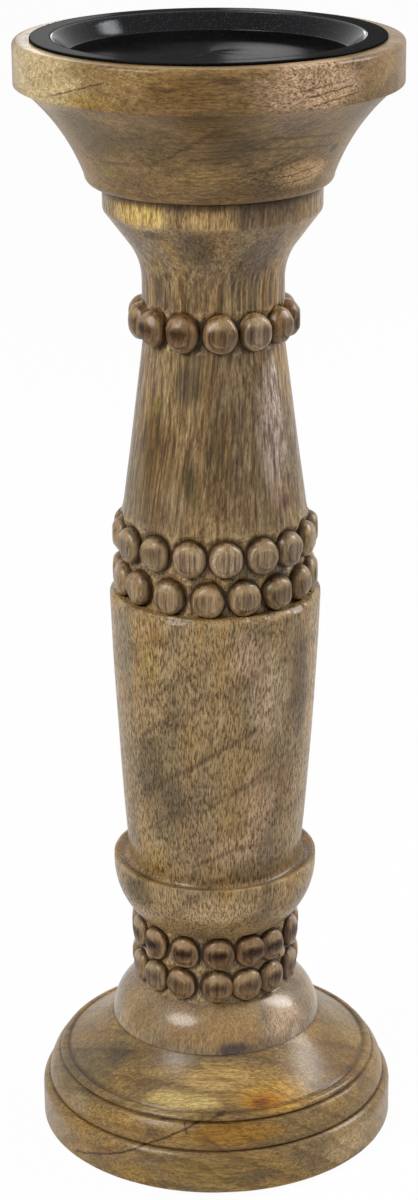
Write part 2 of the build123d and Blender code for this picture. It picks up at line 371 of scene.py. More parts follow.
def worn_edges(radius, height, angle):
    """Pale rubbed wood along the stem's turned edges, broken up by hand wear."""
    patchy = smooth_step(ring_noise(angle, height, 60, 9, 13), -0.35, 0.5)
    shoulder = hump(height, MID_BAND[0] - 0.1, 0.8) * (radius > 32.6)
    lip = hump(height, BOWL_TOP - 0.3, 0.6) * (radius > 32.4)
    collar = hump(height, COLLAR_BOTTOM + 0.6, 0.8)
    return np.clip(patchy * (0.9 * shoulder + 0.7 * lip + 0.5 * collar), 0, 1)


def make_stem():
    foot, foot_neck = (FOOT_RADIUS, BASE_TOP), (LOW_GROUND, LOW_BAND[0])
    bowl_foot, bowl_edge = (26.2, LOW_BAND[1]), (BOWL_RADIUS, BOWL_TOP)
    column_foot, shoulder = (28.8, 100.5), (SHOULDER_RADIUS, MID_BAND[0])
    neck, flare = (NECK_RADIUS, 294.6), (25.8, 305.9)
    low_tenon_end, low_pilot_end = 23.0, 56.3
    high_tenon_end, high_pilot_end = 343.3, 308.4
    chamfer = 1.0
    corners = [(0, low_pilot_end), (PILOT_RADIUS, low_pilot_end), (PILOT_RADIUS, low_tenon_end)]
    corners += [(TENON_RADIUS - chamfer, low_tenon_end), (TENON_RADIUS, low_tenon_end + chamfer)]
    corners += [(TENON_RADIUS, BASE_TOP), (*foot, 0.25)]
    corners += bow(foot, foot_neck, 2.2, 12)
    corners += [(*foot_neck, 0.4), (LOW_GROUND, LOW_BAND[1]), bowl_foot]
    corners += bow(bowl_foot, bowl_edge, 2.4, 14)
    corners += [(*bowl_edge, 0.35), (32.8, BOWL_TOP, 0.4), (30.6, 97.4), (29.2, 97.5), (28.75, 98.9)]
    corners += bow(column_foot, shoulder, 0.5, 40)
    corners += [(*shoulder, 0.35), (33.4, SHOULDER_TOP, 0.5), (MID_GROUND, SHOULDER_TOP, 0.4)]
    corners += [(MID_GROUND, MID_BAND[1], 0.5), (NECK_RADIUS, TOP_BAND[0], 1.0), neck]
    out, up = flare[0] - neck[0], flare[1] - neck[1]
    cove_radius = (out ** 2 + up ** 2) / (2 * out)
    for turn in np.arange(1, 10) / 10 * math.asin(up / cove_radius):
        corners.append((neck[0] + cove_radius * (1 - math.cos(turn)), neck[1] + cove_radius * math.sin(turn)))
    corners += [flare, (34.3, 317.3, 2.6), (34.4, STEM_TOP, 0.8)]
    corners += [(TENON_RADIUS, STEM_TOP), (TENON_RADIUS, high_tenon_end - chamfer)]
    corners += [(TENON_RADIUS - chamfer, high_tenon_end), (PILOT_RADIUS, high_tenon_end)]
    corners += [(PILOT_RADIUS, high_pilot_end), (0, high_pilot_end)]

    def step(radius, height):
        if radius < INNER_RADIUS:
            return 14.0
        fine = any(low - 1.5 < height < high + 1.5 for low, high in (LOW_BAND, MID_BAND, TOP_BAND))
        return 0.6 if fine else 3.2

    points, faces = lathe(corners, False, step, 312, stem_shift)
    radius = np.hypot(points[:, 0], points[:, 1])
    angle = np.arctan2(points[:, 1], points[:, 0]) % (2 * math.pi)
    away = nearest_bead(angle, points[:, 2], radius)
    ground = carved_ground(points[:, 2]) * (radius > INNER_RADIUS)
    ground = ground * ((points[:, 2] < 150) | (radius < 31.2))
    # Scratched lines between the mid rows take the painted crevice shade as well.
    for rise, seed in ((0.4, 8), (-0.7, 14)):
        line = np.abs(points[:, 2] - MID_LINE - rise - 0.8 * ring_noise(angle, points[:, 2], 30, 60, seed))
        away = np.where(line < 2.0, np.minimum(away, 0.25 + 1.3 * line), away)
    marks = {
        "away": np.where(ground > 0.02, np.clip(away, -1, 9), 9.0),
        "bead": 0 * radius,
        "edge": worn_edges(radius, points[:, 2], angle),
        "tone": ground,
        "core": 0 * radius,
    }
    points[:, 0] += stem_lean(points[:, 2]) * (radius > INNER_RADIUS)
    return mesh_object("turned_stem", points, faces, "stand", "stem", marks)


def make_beads():
    points, faces, marks, offset = [], [], {}, 0
    for bead in BEADS:
        cap, cap_faces, cap_marks = bead_cap(bead)
        cap[:, 0] += stem_lean(bead["height"])
        points.append(cap)
        faces += [tuple(i + offset for i in face) for face in cap_faces]
        for name, values in cap_marks.items():
            marks.setdefault(name, []).append(values)
        offset += len(cap)
    marks = {name: np.concatenate(values) for name, values in marks.items()}
    return mesh_object("carved_beads", np.concatenate(points), faces, "stand", "stem", marks)


def turned_shift(limit, seed):
    """Slight hand-turned unevenness that never passes the outline."""
    def shift(radius, height, angle):
        wander = 0.5 + 0.5 * ring_noise(angle, height, 8, 20, seed)
        nick = np.clip(ring_noise(angle, height, 110, 1.6, seed + 1) - 0.55, 0, 1)
        return radius - (radius > limit) * (0.10 * wander + 0.25 * nick), height
    return shift


def make_cup():
    bottom_edge, cove_start, cove_end = (35.7, STEM_TOP), (38.9, 328.5), (58.2, COVE_TOP)
    lip_round = 1.5
    lip_side, lip_top = (CUP_RADIUS, CUP_TOP - lip_round), (CUP_RADIUS - lip_round, CUP_TOP)
    recess_radius, recess_floor = 48.6, 363.2
    bore_floor, socket_end = 358.2, 343.8
    corners = [(SOCKET_RADIUS, STEM_TOP, 0.3), bottom_edge]
    corners += quarter(bottom_edge, cove_start, (cove_start[0], STEM_TOP), 7)
    corners += [cove_start] + bow(cove_start, cove_end, -2.2, 22)
    corners += [(*cove_end, 0.15), (CUP_RADIUS, COVE_TOP, 0.5), lip_side]
    corners += quarter(lip_side, lip_top, (CUP_RADIUS, CUP_TOP), 6)
    corners += [lip_top, (recess_radius, CUP_TOP, 0.5), (recess_radius, recess_floor, 0.4)]
    corners += [(WASHER_BORE, recess_floor, 0.3), (WASHER_BORE, bore_floor), (SCREW_HOLE, bore_floor)]
    corners += [(SCREW_HOLE, socket_end), (SOCKET_RADIUS, socket_end)]

    def step(radius, height):
        return 1.4 if radius > 34 else 5.0

    points, faces = lathe(corners, True, step, 288, turned_shift(34.0, 20))
    return mesh_object("turned_cup", points, faces, "stand", "cup")


def make_base():
    plinth_edge, plinth_inner = (BASE_RADIUS, 12.1), (57.9, 15.6)
    moulding_foot, moulding_head = (57.4, 16.2), (54.3, 24.0)
    ring_foot, ring_head = (53.6, 25.0), (51.4, 26.4)
    dome_foot, dome_head = (50.0, 26.8), (FOOT_RADIUS, BASE_TOP)
    socket_end, bore_top, chamfer = 22.5, 6.5, 0.5
    corners = [(WASHER_BORE, FELT_TOP), (BASE_RADIUS - chamfer, FELT_TOP, 0.2)]
    corners += [(BASE_RADIUS, FELT_TOP + chamfer, 0.2), plinth_edge]
    corners += bow(plinth_edge, plinth_inner, 0.55, 8)
    corners += [(*plinth_inner, 0.3), (56.5, 15.75, 0.15), (*moulding_foot, 0.3)]
    corners += bow(moulding_foot, moulding_head, 0.75, 12)
    corners += [(*moulding_head, 0.9), (52.7, 24.45, 0.2), (*ring_foot, 0.4)]
    corners += bow(ring_foot, ring_head, 0.45, 6)
    corners += [(*ring_head, 0.4), (50.6, 26.1, 0.15), (*dome_foot, 0.4)]
    corners += bow(dome_foot, dome_head, -0.7, 14)
    corners += [(*dome_head, 0.2), (SOCKET_RADIUS, BASE_TOP, 0.3), (SOCKET_RADIUS, socket_end)]
    corners += [(SCREW_HOLE, socket_end), (SCREW_HOLE, bore_top), (WASHER_BORE, bore_top)]

    def step(radius, height):
        return 1.4 if radius > 34 and height > 1.6 else 6.0

    points, faces = lathe(corners, True, step, 288, turned_shift(34.0, 30))
    return mesh_object("turned_base", points, faces, "stand", "base")


def make_pan():
    wall_angle = math.atan2(PAN_TOP - PAN_FLOOR, PAN_MOUTH - PAN_FOOT)
    shift = PAN_SHEET * math.tan(wall_angle / 2)
    under_floor, under_flange = PAN_FLOOR - PAN_SHEET, PAN_TOP - PAN_SHEET
    corners = [(0, under_floor), (PAN_FOOT + shift, under_floor, 2.0)]
    corners += [(PAN_MOUTH + shift, under_flange, 1.2), (PAN_EDGE, under_flange, 0.38)]
    corners += [(PAN_EDGE, PAN_TOP, 0.38), (PAN_MOUTH, PAN_TOP, 2.0), (PAN_FOOT, PAN_FLOOR, 1.2), (0, PAN_FLOOR)]

    def step(radius, height):
        return 1.2 if radius > 40 else 3.0

    def dished(radius, height, angle):
        sag = 0.16 * ring_noise(angle, 10 + radius, 7, 18, 41) * smooth_step(46 - radius, 0, 12)
        return radius, height + sag

    points, faces = lathe(corners, False, step, 240, dished)
    return mesh_object("pressed_pan", points, faces, "pan", "candle_pan")


def make_felt():
    corners = [(0, 0), (FELT_RADIUS, 0, 0.5), (FELT_RADIUS, FELT_TOP, 0.5), (0, FELT_TOP)]

    def fuzzy(radius, height, angle):
        rim = smooth_step(radius, 50, 54)
        return radius - rim * 0.25 * (1 + ring_noise(angle, height, 150, 2, 51)), height

    points, faces = lathe(corners, False, lambda radius, height: 2.0, 200, fuzzy)
    piece = mesh_object("felt_pad", points, faces, "stand", "felt_disc")
    return piece


# Materials.

def colour(red, green, blue):
    """Scene-linear colour from 0-255 display values."""
    out = []
    for value in (red, green, blue):
        c = value / 255
        out.append(c / 12.92 if c <= 0.04045 else ((c + 0.055) / 1.055) ** 2.4)
    return (*out, 1.0)


class Tree:
    """The node tree of a material or a world, with short calls for the nodes used here."""

    def __init__(self, name, world=False):
        self.owner = (bpy.data.worlds if world else bpy.data.materials).new(name)
        self.owner.use_nodes = True
        self.nodes, self.links = self.owner.node_tree.nodes, self.owner.node_tree.links
        self.nodes.clear()
        self.output = self.nodes.new("ShaderNodeOutputWorld" if world else "ShaderNodeOutputMaterial")

    def feed(self, socket, value):
        if hasattr(value, "is_output"):
            self.links.new(value, socket)
        else:
            socket.default_value = value

    def mm(self):
        place = self.nodes.new("ShaderNodeTexCoord").outputs["Object"]
        return self.vector("SCALE", place, 1 / MM)

    def vector(self, kind, a, b=None):
        node = self.nodes.new("ShaderNodeVectorMath")
        node.operation = kind
        self.feed(node.inputs[0], a)
        if kind == "SCALE":
            self.feed(node.inputs["Scale"], b)
        elif b is not None:
            self.feed(node.inputs[1], b)
        return node.outputs["Value" if kind in ("LENGTH", "DOT_PRODUCT", "DISTANCE") else "Vector"]

    def math(self, kind, a, b=None, clamp=False):
        node = self.nodes.new("ShaderNodeMath")
        node.operation = kind
        node.use_clamp = clamp
        self.feed(node.inputs[0], a)
        if b is not None:
            self.feed(node.inputs[1], b)
        return node.outputs[0]

    def times(self, a, b, clamp=False):
        return self.math("MULTIPLY", a, b, clamp)

    def plus(self, a, b):
        return self.math("ADD", a, b)

    def minus(self, a, b):
        return self.math("SUBTRACT", a, b)

    def parts(self, vector):
        node = self.nodes.new("ShaderNodeSeparateXYZ")
        self.feed(node.inputs[0], vector)
        return node.outputs

    def turned(self, vector, rotation, location=(0, 0, 0)):
        node = self.nodes.new("ShaderNodeMapping")
        self.feed(node.inputs["Vector"], vector)
        node.inputs["Rotation"].default_value = [math.radians(a) for a in rotation]
        node.inputs["Location"].default_value = location
        return node.outputs[0]

    def noise(self, vector, detail=2.0, rough=0.5, bend=0.0, whole=False, scale=1.0):
        node = self.nodes.new("ShaderNodeTexNoise")
        self.feed(node.inputs["Vector"], vector)
        node.inputs["Scale"].default_value = scale
        node.inputs["Detail"].default_value = detail
        node.inputs["Roughness"].default_value = rough
        node.inputs["Distortion"].default_value = bend
        return node.outputs["Color" if whole else "Fac"]

    def grained(self, size, detail=2.0, rough=0.5, whole=False):
        """Noise drawn out along the wood's grain."""
        return self.noise(self.vector("MULTIPLY", self.grain, GRAIN_SIZES[size]), detail, rough, whole=whole)

    def cells(self, vector):
        node = self.nodes.new("ShaderNodeTexVoronoi")
        self.feed(node.inputs["Vector"], vector)
        node.inputs["Scale"].default_value = 1.0
        return node.outputs

    def between(self, value, low, high, start=0.0, end=1.0, smooth=True):
        node = self.nodes.new("ShaderNodeMapRange")
        node.interpolation_type = "SMOOTHSTEP" if smooth else "LINEAR"
        self.feed(node.inputs["Value"], value)
        for name, number in (("From Min", low), ("From Max", high), ("To Min", start), ("To Max", end)):
            node.inputs[name].default_value = number
        return node.outputs["Result"]

    def share(self, value, start, end):
        """Straight run from start at 0 to end at 1."""
        return self.between(value, 0.0, 1.0, start, end, smooth=False)

    def ramp(self, value, stops):
        node = self.nodes.new("ShaderNodeValToRGB")
        band = node.color_ramp
        while len(band.elements) < len(stops):
            band.elements.new(0.5)
        for element, (place, shade) in zip(band.elements, stops):
            element.position = place
            element.color = colour(*shade)
        self.feed(node.inputs["Fac"], value)
        return node.outputs["Color"]

    def mix(self, share, a, b, kind="MIX"):
        node = self.nodes.new("ShaderNodeMix")
        node.data_type = "RGBA"
        node.blend_type = kind
        self.feed(node.inputs["Factor"], share)
        self.feed(node.inputs[6], a)
        self.feed(node.inputs[7], b)
        return node.outputs[2]

    def mark(self, name):
        node = self.nodes.new("ShaderNodeAttribute")
        node.attribute_name = name
        return node.outputs["Fac"]

    def bump(self, height, strength, distance):
        node = self.nodes.new("ShaderNodeBump")
        node.inputs["Strength"].default_value = strength
        node.inputs["Distance"].default_value = distance
        self.feed(node.inputs["Height"], height)
        return node.outputs[0]

    def shader(self, kind, **values):
        node = self.nodes.new("ShaderNode" + kind)
        for name, value in values.items():
            self.feed(node.inputs[name.replace("_", " ")], value)
        return node.outputs[0]

    def shown(self, surface):
        self.links.new(surface, self.output.inputs["Surface"])
        return self.owner

    def principled(self, shade, rough, normal, **others):
        return self.shown(self.shader("BsdfPrincipled", Base_Color=shade, Roughness=rough, Normal=normal, **others))

    def shown_white(self, share, plain, white):
        """Shows the white shader to camera, mirror and glass rays, and the plain one to light."""
        path = self.nodes.new("ShaderNodeLightPath").outputs
        seen = self.math("MAXIMUM", path["Is Camera Ray"], path["Is Glossy Ray"])
        seen = self.math("MAXIMUM", seen, path["Is Transmission Ray"])
        blend = self.nodes.new("ShaderNodeMixShader")
        for socket, value in zip(blend.inputs, (self.times(seen, share), plain, white)):
            self.feed(socket, value)
        return self.shown(blend.outputs[0])

    def line_mask(self, place, shaken, start, end, width):
        """1 along a line between two points of the surface: a plane through both, cut off past the ends."""
        start, end = Vector(start), Vector(end)
        middle = (start + end) / 2
        inward = Vector((middle.x, middle.y, 0))
        across = (end - start).cross(inward).normalized()
        offset = self.vector("SUBTRACT", shaken, middle)
        away = self.math("ABSOLUTE", self.vector("DOT_PRODUCT", offset, across))
        half = (end - start).length / 2
        reach = self.vector("LENGTH", self.vector("SUBTRACT", place, middle))
        inside = self.between(reach, half * 1.15, half * 0.85)
        return self.times(self.between(away, width, width * 0.2), inside)

    def patch(self, place, centre, reach):
        """1 inside a ragged blob round a point, 0 outside; centre and reach in millimetres."""
        away = self.vector("DIVIDE", self.vector("SUBTRACT", place, centre), reach)
        away = self.plus(self.vector("LENGTH", away), self.times(self.ragged, 0.5))
        return self.between(away, 1.0, 0.35)


# Noise cells to a millimetre of wood: twice across the grain, then along it.
GRAIN_SIZES = {
    "sway": (0.035, 0.035, 0.012),
    "zone": (0.055, 0.055, 0.013),
    "hue": (0.17, 0.17, 0.010),
    "broad": (0.30, 0.30, 0.010),
    "streak": (1.0, 1.0, 0.012),
    "drawn": (0.70, 0.70, 0.018),
    "dash": (2.1, 2.1, 0.40),
    "crowd": (0.08, 0.08, 0.03),
    "fibre": (4.2, 4.2, 0.16),
    "dot": (3.0, 3.0, 1.5),
}
AMBER, GREYED = (150, 108, 48), (100, 82, 62)
# The pale edges carry a painted highlight on the bead tops; the last colour is the painted dark reflection on the
# beads.
WORN_BEAD, FRESH_CHIP, PALE_EDGE_AND_HIGHLIGHT, PAINTED_DARK_REFLECTION = (122, 83, 43), (196, 168, 122), (198, 168, 124), (36, 19, 8)


def zoned_colour(t, place, tones, tints, drift):
    """The wood's colour before its light and dark figure: tone zones, drifting hues and tints."""
    zone = t.grained("zone", 3.0, 0.6)
    shade = t.ramp(t.between(zone, 0.34, 0.66, smooth=False), tones)
    hue = t.grained("hue", 4.0, 0.62)
    shade = t.mix(t.times(t.between(hue, 0.51, 0.66, 0.0, 0.50), drift), shade, colour(*AMBER))
    shade = t.mix(t.times(t.between(hue, 0.47, 0.33, 0.0, 0.42), drift), shade, colour(*GREYED))
    for centre, reach, tint, strength in tints:
        shade = t.mix(t.times(t.patch(place, centre, reach), strength), shade, colour(*tint))
    return shade


def growth_lines(t, place, lines, upper):
    """Light factor of the growth lines, each darker towards its late wood."""
    way, spacing, depth = lines
    slow = t.noise(place, scale=0.025)
    along = t.plus(t.vector("DOT_PRODUCT", place, way), t.times(slow, spacing * 1.6))
    along = t.plus(along, t.times(t.ragged, 5.0))
    saw = t.math("FRACT", t.math("DIVIDE", along, spacing))
    late = t.times(t.between(saw, 0.60, 0.97), t.between(saw, 1.0, 0.975))
    late = t.times(late, t.between(upper, 0.0, 1.0, 1.0, 0.15))
    return t.share(late, 1.0 + 0.2 * depth, 1.0 - depth)


def ring_shade(t, place, ring):
    """Light factor of a ring of painted shade round the axis, from its (radius, height, width, depth)."""
    radius, height, width, depth = ring
    out = t.minus(t.vector("LENGTH", t.vector("MULTIPLY", place, (1, 1, 0))), radius)
    up = t.minus(t.parts(place)[2], height)
    away = t.math("SQRT", t.plus(t.times(out, out), t.times(up, up)))
    away = t.plus(away, t.times(t.ragged, width))
    return t.between(away, width, 0.0, 1.0, 1.0 - depth)


def veined(t, place, shade, veins):
    """The colour with dark lines drawn between points of the surface, slightly shaken."""
    shake = t.noise(place, 3.0, 0.6, whole=True, scale=0.22)
    shake = t.vector("SCALE", t.vector("SUBTRACT", shake, (0.5, 0.5, 0.5)), 1.8)
    shaken = t.vector("ADD", place, shake)
    for start, end, width, tint, strength in veins:
        mask = t.line_mask(place, shaken, start, end, width)
        shade = t.mix(t.times(mask, strength), shade, colour(*tint))
    return shade


def carving_masks(t, place):
    """Masks of the carved work: worn beads, fresh chips, the painted dark reflection on the beads, painted crevice
    shade, a light factor of painted shade and shadow, and rubbed edges with a painted highlight on the bead tops.
    """
    away, bead, edge, tone, core = (t.mark(n) for n in ("away", "bead", "edge", "tone", "core"))
    ground = t.minus(1.0, bead)
    worn = t.times(bead, t.between(tone, 0.0, 1.3, 0.10, 0.80))
    patchy = t.noise(place, 3.0, 0.7, scale=0.55)
    chip = t.times(t.between(away, 0.7, 1.7), t.between(patchy, 0.46, 0.58))
    chip = t.times(t.times(chip, t.between(away, 8.0, 6.0)), t.times(tone, ground))
    # The painted dark reflection across the bead middles, broken up a little.
    painted_reflection = t.times(core, t.between(patchy, 0.34, 0.62, 0.8, 1.15), clamp=True)
    # Painted shade in the crevices on the ground and round each bead's own rim.
    crevice = t.times(t.between(away, 0.50, 0.10), ground)
    rim = t.times(t.between(away, -0.32, -0.02), bead)
    crevice = t.math("MAXIMUM", crevice, t.times(rim, 0.7))
    # Painted shade darkening each bead towards its edge.
    bead_edge_shade = t.times(t.between(away, -1.7, 0.0), bead)
    # A painted shadow on the ground round each bead.
    shadow = t.times(t.between(away, 2.2, 0.2), ground)
    light = t.share(crevice, 1.0, 0.13)
    light = t.times(light, t.share(bead_edge_shade, 1.0, 0.66))
    light = t.times(light, t.share(shadow, 1.0, 0.80))
    return worn, chip, painted_reflection, crevice, light, edge


def wood(name, turn, offset, tones, lines, tints, veins=(), carved=False, shaft=None, drift=0.5, pores=1.0,
         coarse=(), stipple=0.0, shade_rings=(), figure=1.0, matte_painted_reflection=False, gloss=(0.12, 0.35, 0.18)):
    """Waxed mango wood: tone zones, named tints, streaks, dashes of pores and growth lines.

    lines is the growth lines' (direction, spacing, depth), coarse lists (centre, reach, added pores), the rings of
    painted shade come as (radius, height, width, depth), and gloss is (specular level, coat, coat roughness).
    Between the two heights of shaft the streaks grow stronger, and over the flare they ease again. Carved wood also
    takes the painted shade, painted highlight and painted dark reflection of the carving marks.
    """
    t = Tree(name)
    place = t.mm()
    t.ragged = t.minus(t.noise(place, 3.0, 0.62, scale=0.10), 0.5)
    t.grain = t.turned(place, turn, offset)
    sway = t.vector("SUBTRACT", t.grained("sway", whole=True), (0.5, 0.5, 0.5))
    t.grain = t.vector("ADD", t.grain, t.vector("SCALE", sway, 8.0))
    upper = 0.0
    if shaft is not None:
        height = t.parts(place)[2]
        upper = t.times(t.between(height, *shaft), t.between(height, *FLARE, 1.0, 0.5))
        drift = t.between(upper, 0.0, 1.0, drift, 0.7)
    shade = zoned_colour(t, place, tones, tints, drift)

    broad = t.between(t.grained("broad", 3.0, 0.6), 0.34, 0.66, -0.20, 0.20, smooth=False)
    amount = t.plus(t.times(broad, drift), 1.0)
    streak = t.grained("streak", 4.0, 0.66)
    drawing = t.between(streak, 0.34, 0.66, 1.0 - 0.14 * figure, 1.0 + 0.14 * figure, smooth=False)
    dashes = t.grained("dash", 3.0, 0.66)
    speck = t.between(dashes, 0.34, 0.56, 1.0 + 0.70 * pores, 1.0 - 0.06 * pores, smooth=False)
    if shaft is not None:
        strong = t.between(streak, 0.36, 0.64, 0.44, 1.46, smooth=False)
        drawing = t.plus(drawing, t.times(upper, t.minus(strong, drawing)))
        speck = t.math("POWER", speck, t.between(upper, 0.0, 1.0, 1.0, 0.30))
        drawn = t.times(t.between(t.grained("drawn", 3.0, 0.6), 0.49, 0.61), upper)
        amount = t.times(amount, t.share(drawn, 1.04, 0.47))
    fibre = t.grained("fibre", 2.0, 0.6)
    for factor in (drawing, speck, t.between(fibre, 0.32, 0.68, 0.82, 1.18, smooth=False)):
        amount = t.times(amount, factor)
    if stipple:
        dots = t.grained("dot", 2.0, 0.6)
        amount = t.times(amount, t.between(dots, 0.36, 0.64, 1.0 + stipple, 1.0 - stipple, smooth=False))
    amount = t.times(amount, growth_lines(t, place, lines, upper))
    for ring in shade_rings:
        amount = t.times(amount, ring_shade(t, place, ring))

    pore = 0.9 * pores
    for centre, reach, more in coarse:
        pore = t.plus(t.times(t.patch(place, centre, reach), more), pore)
    pore = t.times(pore, t.between(upper, 0.0, 1.0, 1.0, 0.55))
    deep = t.times(t.between(dashes, 0.51, 0.60), t.between(t.grained("crowd"), 0.32, 0.60, 0.7, 1.0))
    pore = t.times(deep, pore, clamp=True)
    rough = t.between(streak, 0.35, 0.65, 0.36, 0.50, smooth=False)
    rough = t.plus(rough, t.times(pore, 0.20))
    relief = t.minus(t.times(fibre, 0.5), pore)

    if veins:
        shade = veined(t, place, shade, veins)
    if carved:
        worn, chip, painted_reflection, crevice, light, edge = carving_masks(t, place)
        shade = t.mix(worn, shade, colour(*WORN_BEAD))
        # The light factor paints shade into the crevices, onto the bead edges and round the beads.
        amount = t.times(amount, light)
        rough = t.plus(rough, t.times(crevice, 0.3))
    warm = t.nodes.new("ShaderNodeCombineColor")
    for socket, power in zip(warm.inputs[:3], (0.88, 1.0, 1.18)):
        t.feed(socket, t.math("POWER", amount, power))
    shade = t.mix(1.0, shade, warm.outputs[0], "MULTIPLY")
    shade = t.mix(pore, shade, t.mix(1.0, shade, (0.36, 0.27, 0.19, 1.0), "MULTIPLY"))
    if carved:
        # Pale chips, then rubbed edges with a painted highlight on the bead tops.
        shade = t.mix(t.times(chip, 0.80), shade, colour(*FRESH_CHIP))
        shade = t.mix(t.times(edge, 0.62), shade, colour(*PALE_EDGE_AND_HIGHLIGHT))
        # Then the painted dark reflection across the bead middles.
        shade = t.mix(painted_reflection, shade, colour(*PAINTED_DARK_REFLECTION))
    normal = t.bump(relief, 0.40, 0.00020)
    shine, coat, coat_rough = gloss
    # The coat is taken off the painted dark reflection, so that it stays dark.
    if matte_painted_reflection:
        coat = t.between(painted_reflection, 0.0, 0.8, coat, 0.0, smooth=False)
    return t.principled(shade, rough, normal, Specular_IOR_Level=shine, Coat_Weight=coat, Coat_Roughness=coat_rough)


def pan_coating(name, gloss, coat, low_rough, high_rough, sparkle, peel):
    """Black powder coat with fine pale flecks painted in as glints; the drawn wall is smoother than the floor and
    flange.
    """
    t = Tree(name)
    place = t.mm()
    grain = t.noise(place, 3.0, 0.62, scale=2.4)
    cloud = t.noise(place, 2.0, scale=0.05)
    # Pale flecks painted into the colour as glints of the coat.
    fleck = t.cells(t.vector("SCALE", place, 1.9))
    chosen = t.between(t.parts(fleck["Color"])[0], 0.62, 0.85)
    spark = t.times(t.between(fleck["Distance"], 0.40, 0.20), chosen)
    shade = t.ramp(cloud, [(0.3, (9, 9, 10)), (0.7, (16, 16, 17))])
    shade = t.mix(t.times(spark, sparkle), shade, colour(104, 98, 80))
    rough = t.between(grain, 0.3, 0.7, low_rough, high_rough, smooth=False)
    normal = t.bump(grain, peel, 0.00018)
    return t.principled(shade, rough, normal, Specular_IOR_Level=gloss, Coat_Weight=coat, Coat_Roughness=0.12,
                        Specular_Tint=(0.86, 0.91, 1.0, 1.0))


def zinc_steel():
    t = Tree("zinc_steel")
    place = t.mm()
    turnings = t.noise(t.vector("MULTIPLY", place, (0.9, 0.9, 6.0)), 3.0, 0.6)
    cloud = t.noise(place, 3.0, scale=0.5)
    shade = t.ramp(cloud, [(0.3, (150, 150, 152)), (0.7, (196, 195, 190))])
    rough = t.between(turnings, 0.3, 0.7, 0.28, 0.46, smooth=False)
    normal = t.bump(turnings, 0.2, 0.0001)
    return t.principled(shade, rough, normal, Metallic=1.0)


def felt_cloth():
    t = Tree("felt_cloth")
    place = t.mm()
    hairs = t.noise(t.vector("MULTIPLY", place, (2.4, 0.8, 2.0)), 4.0, 0.7, 1.5)
    cross = t.noise(t.vector("MULTIPLY", place, (0.7, 2.6, 2.0)), 4.0, 0.7, 1.5)
    fuzz = t.times(t.plus(hairs, cross), 0.5)
    shade = t.ramp(fuzz, [(0.32, (34, 27, 22)), (0.5, (58, 46, 38)), (0.68, (92, 76, 62))])
    normal = t.bump(fuzz, 0.7, 0.0004)
    return t.principled(shade, 0.95, normal, Sheen_Weight=0.35, Sheen_Roughness=0.6)


def white_floor():
    t = Tree("pale_floor")
    mottle = t.noise(t.mm(), 2.0, scale=0.004)
    shade = t.ramp(mottle, [(0.3, (238.6, 238.6, 238.6)), (0.7, (243.4, 243.4, 243.4))])
    return t.shown_white(0.97, t.shader("BsdfDiffuse", Color=shade), t.shader("Emission", Strength=1.0))


# The model.

stem, beads, cup = make_stem(), make_beads(), make_cup()
base, pan, felt = make_base(), make_pan(), make_felt()

# Tones as (place from dark to light, display colour).
STEM_TONES = ((0.0, (122, 100, 72)), (0.35, (140, 116, 80)), (0.65, (152, 124, 82)), (1.0, (154, 120, 68)))
CUP_TONES = ((0.0, (110, 86, 54)), (0.4, (126, 99, 61)), (0.7, (136, 108, 65)), (1.0, (144, 114, 68)))
BASE_TONES = ((0.0, (116, 94, 60)), (0.4, (134, 107, 63)), (0.7, (146, 115, 61)), (1.0, (154, 119, 60)))

